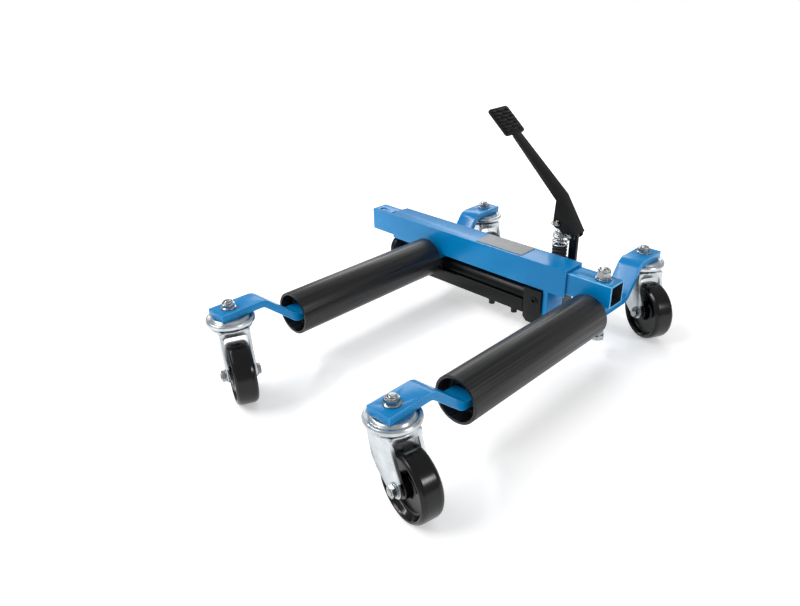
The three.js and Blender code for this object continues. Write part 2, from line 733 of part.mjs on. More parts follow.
// A flat tread plate with raised bars, on the end of the lever.
function pedalPad() {
  const start = leverLength - padLength + 2 + gap;
  const end = leverLength;
  const base = outline([
    onArm(start, 0), onArm(end, 0), onArm(end, padThickness), onArm(start, padThickness),
  ]);
  const plate = extrudeXZ(base, plungerY - padWidth / 2, plungerY + padWidth / 2);
  const pitch = (end - start - 8) / padBars;
  let pad = plate;
  for (let bar = 0; bar < padBars; bar += 1) {
    const low = start + 6 + bar * pitch;
    const high = low + pitch * 0.5;
    const rib = outline([
      onArm(low, 0.5), onArm(high, 0.5), onArm(high, -padBarHeight), onArm(low, -padBarHeight),
    ]);
    pad = pad.add(extrudeXZ(rib, plungerY - padWidth / 2 + 5, plungerY + padWidth / 2 - 5));
  }
  return pad;
}

// ---- assembly ----
const crossbar = new THREE.Group();
crossbar.add(piece('outer_tube', outerTube(), bluePaint()));
crossbar.add(piece('inner_tube', innerTube(), bluePaint()));
crossbar.add(piece('label_plate', labelPlate(), plateGrey()));
crossbar.add(piece('end_bracket', endBracket(), bluePaint()));

const arms = new THREE.Group();
arms.add(piece('arm_left', arm(armLeftX), bluePaint()));
const rightArm = cut(arm(armRightX), clampHole(armTop - armThickness - 1, armTop + 1));
arms.add(piece('arm_right', rightArm, bluePaint()));
arms.add(piece('arm_spacer', armSpacer(), bluePaint()));
arms.add(piece('clamp_bolt', clampBolt(), zinc()));
arms.add(piece('clamp_nut', clampNut(), zinc()));
arms.add(piece('clamp_sleeve', clampSleeve(), steel()));

for (const [side, x] of [['left', armLeftX], ['right', armRightX]]) {
  const rollerGroup = new THREE.Group();
  rollerGroup.position.set(x, 0, armLow);
  rollerGroup.add(piece(`roller_${side}`, rollerTube(), blackCoat()));
  for (const [end, start] of Object.entries(hubStarts)) {
    rollerGroup.add(piece(`roller_bush_${side}_${end}`, rollerBush(start), blackPlastic()));
    rollerGroup.add(piece(`roller_hub_${side}_${end}`, rollerHub(start), steel()));
  }
  arms.add(rollerGroup);
  arms.add(caster(`front_${side}`, x, casterFrontY));
  arms.add(caster(`rear_${side}`, x, casterRearY));
}

const hydraulics = new THREE.Group();
hydraulics.add(piece('ram_barrel', ramBarrel(), blackCoat()));
hydraulics.add(piece('barrel_cradle', barrelCradle(), blackCoat()));
hydraulics.add(piece('ram_rod', ramRod(), steel()));
hydraulics.add(piece('crosshead', crosshead(), blackCoat()));
hydraulics.add(piece('pump_block', pumpBlock(), blackCoat()));
hydraulics.add(piece('release_valve', releaseValve(), blackCoat()));
hydraulics.add(piece('plunger_boot', plungerBoot(), blackPlastic()));
hydraulics.add(piece('plunger_rod', plungerRod(), zinc()));
hydraulics.add(piece('spring_retainer', springRetainer(), zinc()));
hydraulics.add(piece('return_spring', returnSpring(), zinc()));
hydraulics.add(piece('plunger_pin', plungerPin(), zinc()));

const pedal = new THREE.Group();
pedal.add(piece('fulcrum_link', fulcrumLink(), blackCoat()));
pedal.add(piece('fulcrum_pin', fulcrumPin(), zinc()));
pedal.add(piece('link_foot_pin', linkFootPin(), zinc()));
pedal.add(piece('pedal_lever', pedalLever(), blackCoat()));
pedal.add(piece('pedal_pad', pedalPad(), blackCoat()));

const group = new THREE.Group();
group.add(crossbar, arms, hydraulics, pedal);
group.updateMatrixWorld(true);
const bounds = new THREE.Box3().setFromObject(group);
const middle = bounds.getCenter(new THREE.Vector3());
group.position.set(-middle.x, -middle.y, 0);

export default group;
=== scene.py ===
# Wheel dolly: the finished surfaces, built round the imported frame. Metres, Z up.
import json
import math

import bmesh
import bpy
from mathutils import Matrix, Vector


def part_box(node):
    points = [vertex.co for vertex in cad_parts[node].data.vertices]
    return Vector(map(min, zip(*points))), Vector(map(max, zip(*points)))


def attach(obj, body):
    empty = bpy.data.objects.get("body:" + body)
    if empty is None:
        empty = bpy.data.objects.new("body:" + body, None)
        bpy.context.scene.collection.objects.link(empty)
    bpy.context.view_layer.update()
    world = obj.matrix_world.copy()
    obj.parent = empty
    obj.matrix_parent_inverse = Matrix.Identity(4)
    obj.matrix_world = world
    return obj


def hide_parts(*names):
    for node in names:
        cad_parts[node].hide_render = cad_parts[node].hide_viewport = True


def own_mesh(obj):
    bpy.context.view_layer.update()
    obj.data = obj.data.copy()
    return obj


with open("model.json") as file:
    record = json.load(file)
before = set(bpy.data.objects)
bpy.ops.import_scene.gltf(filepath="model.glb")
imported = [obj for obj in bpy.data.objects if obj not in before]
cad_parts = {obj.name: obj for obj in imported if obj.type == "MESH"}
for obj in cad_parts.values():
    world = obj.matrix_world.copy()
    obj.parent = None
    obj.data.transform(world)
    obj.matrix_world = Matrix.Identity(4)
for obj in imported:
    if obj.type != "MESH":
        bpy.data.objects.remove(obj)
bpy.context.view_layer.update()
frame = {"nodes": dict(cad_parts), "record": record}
mm = 0.001
record = frame["record"]
bodyOf = {node: body for body, nodes in record["behaviour"]["bodies"].items() for node in nodes}
places = ["front_left", "front_right", "rear_left", "rear_right"]
up = Vector((0, 0, 1))
along = Vector((1, 0, 0))
across = Vector((0, 1, 0))
# These turn a slab so that its outline lies in XZ, or in YZ.
upright = Matrix(((1, 0, 0, 0), (0, 0, -1, 0), (0, 1, 0, 0), (0, 0, 0, 1)))
endOn = Matrix(((0, 0, 1, 0), (1, 0, 0, 0), (0, 1, 0, 0), (0, 0, 0, 1)))


# A CAD node's corners and middle, at rest.
def low(node):
    return Vector(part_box(node)[0])


def high(node):
    return Vector(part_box(node)[1])


def middle(node):
    return (low(node) + high(node)) / 2


# sRGB hex to linear.
def fromHex(text):
    values = [int(text[i:i + 2], 16) / 255 for i in (1, 3, 5)]
    return tuple(v / 12.92 if v <= 0.04045 else ((v + 0.055) / 1.055) ** 2.4 for v in values) + (1.0,)


def addNode(tree, kind, settings=None, links=None):
    node = tree.nodes.new(kind)
    for name, value in (settings or {}).items():
        if isinstance(name, int) or name in node.inputs:
            node.inputs[name].default_value = value
        else:
            setattr(node, name, value)
    for name, source in (links or {}).items():
        tree.links.new(source, node.inputs[name])
    return node


def newFinish(name, surface):
    material = bpy.data.materials.new(name)
    material.use_nodes = True
    shader = material.node_tree.nodes["Principled BSDF"]
    for socket, value in surface.items():
        shader.inputs[socket].default_value = value
    return material, shader


# Each finish: two close colours that drift into each other, a roughness that drifts with them,
# and a fine relief. Sizes and depths are real millimetres; stretch lengthens a pattern along an axis.
def layered(name, dark, light, rough, fine, broad, surface):
    material, shader = newFinish(name, surface)
    tree = material.node_tree
    coords = addNode(tree, "ShaderNodeTexCoord")
    noises = []
    for pattern, detail in ((broad, 4), (fine, 2)):
        scale = [1 / (pattern["size"] * mm * s) for s in pattern.get("stretch", (1, 1, 1))]
        place = addNode(tree, "ShaderNodeMapping", {"Scale": scale}, {"Vector": coords.outputs["Object"]})
        settings = {"Scale": 1.0, "Detail": detail, "Roughness": 0.55}
        noise = addNode(tree, "ShaderNodeTexNoise", settings, {"Vector": place.outputs["Vector"]})
        noises.append(noise.outputs["Fac"])
    cloud, grain = noises
    share = addNode(tree, "ShaderNodeMapRange", {"From Min": 0.35, "From Max": 0.65}, {"Value": cloud})
    mixing = {"data_type": "RGBA", 6: fromHex(dark), 7: fromHex(light)}   # sockets 6 and 7 are the two colours
    colour = addNode(tree, "ShaderNodeMix", mixing, {0: share.outputs["Result"]})
    shineRange = {"From Min": 0.3, "From Max": 0.7, "To Min": rough[0], "To Max": rough[1]}
    shine = addNode(tree, "ShaderNodeMapRange", shineRange, {"Value": grain if fine.get("shine") else cloud})
    bumping = {"Strength": fine["strength"], "Distance": fine["depth"] * mm}
    bump = addNode(tree, "ShaderNodeBump", bumping, {"Height": grain})
    tree.links.new(colour.outputs[2], shader.inputs["Base Color"])
    tree.links.new(shine.outputs["Result"], shader.inputs["Roughness"])
    tree.links.new(bump.outputs["Normal"], shader.inputs["Normal"])
    return material


# Blue powder coat, baked on: an even satin gloss with a faint orange peel of 1 to 2 mm.
powderBlue = layered(
    "powderCoatBlue", "#027CBB", "#0487C6", (0.22, 0.3),
    {"size": 1.6, "depth": 0.05, "strength": 0.25}, {"size": 90},
    {"Coat Weight": 0.06, "Coat Roughness": 0.08, "Specular IOR Level": 0.24, "IOR": 1.5},
)
# A lighter, slightly glossier copy of the same coat, laid on rounded edges as a painted highlight.
edgeHighlightBlue = layered(
    "paintedEdgeHighlightBlue", "#4FA8E0", "#7CC2EC", (0.16, 0.24),
    {"size": 1.2, "depth": 0.02, "strength": 0.1}, {"size": 14}, {"Specular IOR Level": 0.5, "IOR": 1.5},
)
# Black enamel on cast and pressed steel, sprayed: satin, with a slightly pebbled skin.
enamelBlack = layered(
    "sprayedBlackEnamel", "#060708", "#0C0D0E", (0.26, 0.38),
    {"size": 1.2, "depth": 0.06, "strength": 0.35}, {"size": 45},
    {"Specular IOR Level": 0.22, "IOR": 1.5},
)
# Black coated drawn tube: lengthwise die lines catch the light in thin streaks.
tubeBlack = layered(
    "drawnTubeBlack", "#070708", "#222325", (0.24, 0.52),
    {"size": 2.2, "depth": 0.1, "strength": 0.75, "stretch": (1, 110, 1), "shine": True},
    {"size": 2.4, "stretch": (1, 90, 1)},
    {"Specular IOR Level": 0.4, "IOR": 1.5},
)
# Zinc plate on pressed steel: bright and slightly milky, with cloudy patches from the bath.
zincPlate = layered(
    "brightZincPlate", "#B4BBBF", "#D2D7DA", (0.24, 0.34),
    {"size": 2.6, "depth": 0.02, "strength": 0.07}, {"size": 22},
    {"Metallic": 1.0},
)
# Turned and plated fasteners: the same bath over a turned surface, a little smoother.
zincFastener = layered(
    "zincFastener", "#8D9295", "#B6B9BA", (0.18, 0.3),
    {"size": 0.9, "depth": 0.03, "strength": 0.25}, {"size": 7},
    {"Metallic": 1.0},
)
# Moulded polyamide wheel: deep black with a wet-looking gloss and faint flow marks.
wheelBlack = layered(
    "mouldedWheelBlack", "#020202", "#060707", (0.17, 0.23),
    {"size": 5, "depth": 0.05, "strength": 0.15}, {"size": 24},
    {"Specular IOR Level": 0.34, "IOR": 1.5},
)
# Moulded nylon bush: plain matt black.
bushNylon = layered(
    "mouldedNylonBlack", "#0E0F10", "#17181A", (0.45, 0.6),
    {"size": 1.0, "depth": 0.04, "strength": 0.3}, {"size": 12}, {"IOR": 1.53},
)
# Rubber boot: dull, dusty black.
bootRubber = layered(
    "mouldedRubberBlack", "#0F0F10", "#1C1C1D", (0.6, 0.78),
    {"size": 0.8, "depth": 0.05, "strength": 0.4}, {"size": 8}, {"IOR": 1.52},
)
# Hard chrome on ground rod: mirror-like, with fine grinding round the rod.
chromeRod = layered(
    "groundChromeRod", "#C9CBCE", "#D8DADC", (0.07, 0.14),
    {"size": 0.8, "depth": 0.02, "strength": 0.15}, {"size": 20}, {"Metallic": 1.0},
)
# Drawn spring wire, zinc plated.
springWire = layered(
    "drawnSpringWire", "#A9ACAF", "#CFD1D2", (0.2, 0.34),
    {"size": 1.1, "depth": 0.02, "strength": 0.2}, {"size": 6}, {"Metallic": 1.0},
)
# Brass split pins, drawn and bent: warm, slightly dulled.
brassWire = layered(
    "drawnBrassWire", "#A88F5B", "#CDB582", (0.25, 0.4),
    {"size": 0.7, "depth": 0.02, "strength": 0.2}, {"size": 3}, {"Metallic": 1.0},
)
# Plain printed film: warm grey, semi-matt, with a soft paper-like mottle.
labelFilm = layered(
    "plainLabelFilm", "#85888A", "#96989A", (0.42, 0.55),
    {"size": 1.4, "depth": 0.02, "strength": 0.15}, {"size": 18}, {"IOR": 1.46},
)
# Bare steel inside the tubes, where the coat doesn't reach, kept very dark as painted shade for the hollow.
bareSteelShade = layered(
    "bareSteelPaintedShade", "#14181B", "#232A2E", (0.55, 0.75),
    {"size": 1.5, "depth": 0.05, "strength": 0.3}, {"size": 20}, {"Specular IOR Level": 0.3},
)
print("finishes made")


# A frame whose local Z is zAxis and whose local X is as near xAxis as it can be.
def basis(at, xAxis, zAxis):
    z = Vector(zAxis).normalized()
    x = (Vector(xAxis) - z * Vector(xAxis).dot(z)).normalized()
    y = z.cross(x)
    turn = Matrix((x, y, z)).transposed().to_4x4()
    return Matrix.Translation(Vector(at)) @ turn


weld = {"made": 1e-6, "carved": 2e-6, "flat": math.radians(0.6)}   # what counts as one point, or one flat face


def toBmesh(verts, faces):
    form = bmesh.new()
    made = [form.verts.new(v) for v in verts]
    for face in faces:
        form.faces.new([made[i] for i in face])
    bmesh.ops.remove_doubles(form, verts=form.verts, dist=weld["made"])
    bmesh.ops.dissolve_degenerate(form, edges=form.edges, dist=weld["made"])
    bmesh.ops.recalc_face_normals(form, faces=form.faces)
    return form


def flattened(form):
    bmesh.ops.remove_doubles(form, verts=form.verts, dist=weld["carved"])
    bmesh.ops.dissolve_limit(
        form, angle_limit=weld["flat"], verts=form.verts, edges=form.edges, use_dissolve_boundaries=False,
    )
    return form


# A solid of revolution about local Z: profile is a closed loop of (radius, height).
def turned(profile, sides=72):
    verts, faces = [], []
    count = len(profile)
    for i in range(sides):
        angle = 2 * math.pi * i / sides
        verts += [(r * math.cos(angle), r * math.sin(angle), h) for r, h in profile]
    for i in range(sides):
        a, b = i * count, (i + 1) % sides * count
        for j in range(count):
            k = (j + 1) % count
            faces.append((a + j, b + j, b + k, a + k))
    return toBmesh(verts, faces)


# A chamfered hexagon about local Z, bored if bore is over zero.
def hexagonal(flats, bore, bottom, top, chamfer=0.94, perSide=8):
    verts, faces = [], []
    sides = 6 * perSide
    for i in range(sides):
        angle = 2 * math.pi * i / sides
        local = angle % (math.pi / 3) - math.pi / 6
        reach = flats / 2 / math.cos(local)
        circle = flats / 2 * chamfer
        drop = max(reach - circle, 0) * 0.5
        loop = [
            (bore, bottom), (circle, bottom), (reach, bottom + drop),
            (reach, top - drop), (circle, top), (bore, top),
        ]
        verts += [(r * math.cos(angle), r * math.sin(angle), h) for r, h in loop]
    for i in range(sides):
        a, b = i * 6, (i + 1) % sides * 6
        for j in range(6):
            faces.append((a + j, b + j, b + (j + 1) % 6, a + (j + 1) % 6))
    return toBmesh(verts, faces)


# Rounds the corners of a closed outline; a corner that is nearly straight is left.
def roundCorners(points, radii, steps=6):
    result = []
    count = len(points)
    radii = [radii] * count if isinstance(radii, (int, float)) else radii
    for i, (point, radius) in enumerate(zip(points, radii)):
        here = Vector(point)
        before, after = Vector(points[i - 1]) - here, Vector(points[(i + 1) % count]) - here
        if radius <= 0 or before.length < 1e-9 or after.length < 1e-9:
            result.append(tuple(here))
            continue
        corner = before.angle(after)
        if corner > math.radians(176):
            result.append(tuple(here))
            continue
        reach = min(radius / math.tan(corner / 2), 0.48 * before.length, 0.48 * after.length)
        radius = reach * math.tan(corner / 2)
        centre = here + (before.normalized() + after.normalized()).normalized() * radius / math.sin(corner / 2)
        start = here + before.normalized() * reach - centre
        end = here + after.normalized() * reach - centre
        sweep = start.angle_signed(end)
        for step in range(steps + 1):
            turn = Matrix.Rotation(-sweep * step / steps, 2)
            result.append(tuple(centre + turn @ start))
    return result


# A ring about local Z, or a disc if inner is zero. The four roundings, in millimetres, go
# inner bottom, outer bottom, outer top, inner top.
def ring(inner, outer, bottom, top, rounding=None, sides=72, steps=3):
    loop = [(inner, bottom), (outer, bottom), (outer, top), (inner, top)]
    if rounding:
        loop = roundCorners(loop, [r * mm for r in rounding], steps)
    return turned(loop, sides)


# A flat plate with its outline in local XY, from bottom to top in local Z.
def slab(outline, bottom, top):
    count = len(outline)
    verts = [(x, y, bottom) for x, y in outline] + [(x, y, top) for x, y in outline]
    faces = [tuple(range(count)), tuple(range(count, 2 * count))]
    faces += [(i, (i + 1) % count, (i + 1) % count + count, i + count) for i in range(count)]
    return toBmesh(verts, faces)


def rectangle(x0, x1, y0, y1):
    return [(x0, y0), (x1, y0), (x1, y1), (x0, y1)]


def boxForm(x0, x1, y0, y1, z0, z1):
    return slab(rectangle(x0, x1, y0, y1), z0, z1)


# A round wire along a line of points.
def swept(points, radius, sides=12):
    points = [Vector(p) for p in points]
    verts, faces = [], []
    normal = None
    for i, point in enumerate(points):
        ahead = (points[min(i + 1, len(points) - 1)] - points[max(i - 1, 0)]).normalized()
        if normal is None:
            normal = ahead.orthogonal().normalized()
        normal = (normal - ahead * normal.dot(ahead)).normalized()
        side = ahead.cross(normal)
        for j in range(sides):
            angle = 2 * math.pi * j / sides
            verts.append(point + (normal * math.cos(angle) + side * math.sin(angle)) * radius)
    for i in range(len(points) - 1):
        for j in range(sides):
            a, b = i * sides + j, i * sides + (j + 1) % sides
            faces.append((a, b, b + sides, a + sides))
    faces.append(tuple(range(sides)))
    faces.append(tuple(range(len(verts) - sides, len(verts))))
    return toBmesh(verts, faces)


def moved(form, matrix):
    bmesh.ops.transform(form, matrix=matrix, verts=form.verts)
    return form


def merged(*forms):
    whole = bmesh.new()
    for form in forms:
        mesh = bpy.data.meshes.new("part")
        form.to_mesh(mesh)
        whole.from_mesh(mesh)
        bpy.data.meshes.remove(mesh)
        form.free()
    return whole


def newObject(name, form):
    mesh = bpy.data.meshes.new(name)
    form.to_mesh(mesh)
    form.free()
    obj = bpy.data.objects.new(name, mesh)
    bpy.context.scene.collection.objects.link(obj)
    return obj


# The object's mesh once its modifiers have worked on it.
def applied(obj):
    bpy.context.view_layer.update()
    graph = bpy.context.evaluated_depsgraph_get()
    result = bmesh.new()
    result.from_mesh(bpy.data.meshes.new_from_object(obj.evaluated_get(graph)))
    return result


# Adds or cuts solids with exact booleans and gives the result as one mesh.
def carve(form, steps):
    obj = newObject("work", form)
    tools = []
    for operation, toolForm in steps:
        tool = newObject("tool", toolForm)
        tools.append(tool)
        modifier = obj.modifiers.new("carve", "BOOLEAN")
        modifier.operation = operation
        modifier.solver = "EXACT"
        modifier.object = tool
    result = applied(obj)
    for used in [obj, *tools]:
        bpy.data.objects.remove(used)
    return flattened(result)


# Rounds the edges of a finished form and keeps the result as plain mesh.
def softened(form, width, segments=3, angle=35):
    obj = newObject("work", form)
    edge = obj.modifiers.new("edges", "BEVEL")
    edge.width = width
    edge.segments = segments
    edge.limit_method = "ANGLE"
    edge.angle_limit = math.radians(angle)
    edge.miter_outer = "MITER_ARC"
    result = applied(obj)
    bpy.data.objects.remove(obj)
    return result


# The piece as the viewer sees it: shaded, finished, and riding on its body.
def finished(name, form, material, node=None, body=None, sharp=32):
    bmesh.ops.recalc_face_normals(form, faces=form.faces)
    obj = newObject(name, form)
    obj.data.polygons.foreach_set("use_smooth", [True] * len(obj.data.polygons))
    obj.data.set_sharp_from_angle(angle=math.radians(sharp))
    obj.data.materials.append(material)
    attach(obj, body or bodyOf[node])
    if node:
        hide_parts(node)
    return obj


# A CAD node's own solid, merged and with its flat faces made whole.
def fromCad(node):
    form = bmesh.new()
    form.from_mesh(frame["nodes"][node].data)
    flattened(form)
    bmesh.ops.recalc_face_normals(form, faces=form.faces)
    return form


# The crossbar's edges and walls. A painted highlight goes on faces that lean off every axis.
tubes = {
    "edge": 1.6 * mm, "plateEdge": 0.9 * mm, "strapEdge": 0.9 * mm,
    "walls": {"outer_tube": 4.5 * mm, "inner_tube": 3 * mm}, "slack": 0.4 * mm,
    "squareOn": 0.985, "strapLean": (0.35, 0.94),
}


# Faces inside a square tube's walls get the bare steel, dark with painted shade.
def bareShadedInside(tube, node):
    tube.data.materials.append(bareSteelShade)
    lowest, highest, wall = low(node), high(node), tubes["walls"][node] - tubes["slack"]
    for face in tube.data.polygons:
        inY = lowest.y + wall < face.center.y < highest.y - wall
        inZ = lowest.z + wall < face.center.z < highest.z - wall
        if inY and inZ and abs(face.normal.x) < 0.5:
            face.material_index = 1


# Rounded edges get a lighter blue: a painted highlight.
def paintEdgeHighlights(piece, onEdge):
    piece.data.materials.append(edgeHighlightBlue)
    number = len(piece.data.materials) - 1
    for face in piece.data.polygons:
        if face.material_index == 0 and onEdge(face.normal):
            face.material_index = number


def leansOff(normal):
    return max(abs(normal.x), abs(normal.y), abs(normal.z)) < tubes["squareOn"]


def leansSideways(normal):
    return tubes["strapLean"][0] < abs(normal.x) < tubes["strapLean"][1]


for name, node in (("outerTube", "outer_tube"), ("innerTube", "inner_tube")):
    tube = finished(name, softened(fromCad(node), tubes["edge"]), powderBlue, node)
    # The tube's inside faces get bare steel darkened as painted shade.
    bareShadedInside(tube, node)
    paintEdgeHighlights(tube, leansOff)
finished("endBracket", softened(fromCad("end_bracket"), tubes["plateEdge"]), powderBlue, "end_bracket")
for side in ("left", "right"):
    node = f"arm_{side}"
    strap = softened(fromCad(node), tubes["strapEdge"], angle=45)
    paintEdgeHighlights(finished(node, strap, powderBlue, node), leansSideways)
finished("armSpacer", softened(fromCad("arm_spacer"), tubes["plateEdge"]), powderBlue, "arm_spacer")

film = {"corner": 2.5 * mm, "edge": 0.25 * mm}
filmLow, filmHigh = low("label_plate"), high("label_plate")
filmOutline = roundCorners(rectangle(filmLow.x, filmHigh.x, filmLow.y, filmHigh.y), film["corner"])
finished("labelPlate", softened(slab(filmOutline, filmLow.z, filmHigh.z), film["edge"]), labelFilm, "label_plate")
print("crossbar and arms made")


# A threaded end about local Z, its tip drawn in by a small dome.
def threaded(radius, start, end, pitch=1.5 * mm, dome=1.0 * mm):
    points = [(0, start), (radius - 0.6 * mm, start)]
    height = start + 0.4 * mm
    while height < end - dome - pitch:
        crest, root = (height + pitch * 0.25, height + pitch * 0.4), height + pitch * 0.85
        points += [(radius, crest[0]), (radius, crest[1]), (radius - 0.7 * mm, root)]
        height += pitch
    points += [
        (radius - 0.2 * mm, end - dome), (radius - 1.2 * mm, end - 0.25 * mm), (radius * 0.45, end), (0, end),
    ]
    return turned(points, 40)


# The plain rounded end of a bolt that stands just proud of its nut.
def domedEnd(radius, start, end, dome):
    points = [(0, start), (radius, start), (radius, end - dome), (radius * 0.8, end), (0, end)]
    return turned(roundCorners(points, [0, 0, dome * 0.6, dome, 0], 4), 40)


# Bolt through the right arm: flat washer, spring washer, nut with a collar, and a sleeve.
clamp = {
    "flats": 24 * mm, "nutFlats": 22 * mm, "bore": 7.3 * mm, "washer": 13.3 * mm, "washerTop": 2.4 * mm,
    "spring": 11.8 * mm, "springTop": 4.6 * mm, "collar": 9.8 * mm, "collarHeight": 3.4 * mm,
    "shank": 6.9 * mm, "head": 9 * mm, "threadLength": 24 * mm, "reach": 1.6 * mm, "dome": 1.8 * mm,
    "sleeve": 11 * mm, "gap": 0.05 * mm,
}
clampAt = middle("clamp_nut")
clampAt.z = 0
nutLow, nutHigh = low("clamp_nut").z, high("clamp_nut").z
clampBase = basis(clampAt, along, up)
collarLow = nutHigh - clamp["collarHeight"]
clampNut = merged(
    ring(clamp["bore"], clamp["washer"], nutLow, nutLow + clamp["washerTop"], [0, 0.4, 0.6, 0]),
    ring(
        clamp["bore"], clamp["spring"], nutLow + clamp["washerTop"] + clamp["gap"], nutLow + clamp["springTop"],
        [0, 0.4, 0.4, 0],
    ),
    hexagonal(clamp["nutFlats"], clamp["bore"], nutLow + clamp["springTop"] + clamp["gap"], collarLow),
    ring(clamp["bore"], clamp["collar"], collarLow - 0.2 * mm, nutHigh, [0, 0, 1.8, 0.3], 56, 4),
)
finished("clampNut", moved(clampNut, clampBase), zincFastener, "clamp_nut")
boltLow, boltHigh = low("clamp_bolt").z, high("clamp_bolt").z
threadLow = boltHigh - clamp["threadLength"]
clampBolt = merged(
    hexagonal(clamp["flats"], 0, boltLow, boltLow + clamp["head"]),
    ring(0, clamp["shank"], boltLow + clamp["head"] + 0.02 * mm, threadLow, sides=40),
    domedEnd(clamp["shank"], threadLow + 0.1 * mm, nutHigh + clamp["reach"], clamp["dome"]),
)
finished("clampBolt", moved(clampBolt, clampBase), zincFastener, "clamp_bolt")
sleeveLow, sleeveHigh = low("clamp_sleeve").z, high("clamp_sleeve").z
sleeve = ring(clamp["bore"], clamp["sleeve"], sleeveLow, sleeveHigh, [0.5] * 4)
finished("clampSleeve", moved(sleeve, clampBase), zincFastener, "clamp_sleeve")

# Caster: the raceway's radii from its rim inwards, the fork's sheet and outline, and the fasteners.
caster = {
    "rim": 38 * mm, "skirt": 29 * mm, "bead": 33.5 * mm, "groove": 30.6 * mm, "plate": 27 * mm,
    "stemHole": 6.3 * mm, "underArm": 27 * mm, "sheet": 3 * mm, "half": 20.5 * mm, "back": -26 * mm,
    "front": 30 * mm, "bridge": 10 * mm, "lug": 12 * mm, "lip": 2.2 * mm, "shoulder": 5 * mm,
    "cup": 33 * mm, "seat": 28.4 * mm, "boss": 9.5 * mm, "bossHeight": 0.7 * mm, "edge": 0.55 * mm,
    "nutFlats": 18.5 * mm, "flange": 12 * mm, "collar": 7.9 * mm, "stem": 5.9 * mm, "stemHead": 11 * mm,
    "headHeight": 6 * mm, "reach": 1.4 * mm, "dome": 1.3 * mm, "axleFlats": 15.5 * mm, "axle": 5.9 * mm,
    "axleWasher": 10.2 * mm, "washerHeight": 1.2 * mm, "axleHead": 6 * mm, "axleNut": 6.9 * mm,
    "axleReach": 8.7 * mm, "axleGap": 0.75 * mm, "wheelHalf": 17 * mm,
}


def casterBase(place):
    stem, hub = middle(f"stem_nut_{place}"), middle(f"wheel_{place}")
    stem.z = hub.z = 0
    return basis(stem, hub - stem, up), (hub - stem).length


def racewayForm(bottom, top):
    rim, skirt, bead, groove = caster["rim"], caster["skirt"], caster["bead"], caster["groove"]
    points = [
        (caster["stemHole"], bottom + 3 * mm), (skirt, bottom + 3 * mm), (skirt + 0.6 * mm, bottom + 0.2 * mm),
        (rim - 1.4 * mm, bottom), (rim, bottom + 1.6 * mm), (rim, top - 4.6 * mm),
        (rim - 1.6 * mm, top - 2.2 * mm), (bead, top - 1.9 * mm), (bead - 1.6 * mm, top - 3.8 * mm),
        (groove, top - 3.8 * mm), (groove - 2 * mm, top - 1.2 * mm),
        (caster["plate"], top), (caster["stemHole"], top),
    ]
    rounding = [0, 0.4, 0.8, 0.9, 1.6, 1.6, 1.4, 1.2, 0.8, 0.8, 0.9, 0.9, 0]
    return turned(roundCorners(points, [r * mm for r in rounding], 4), 96)


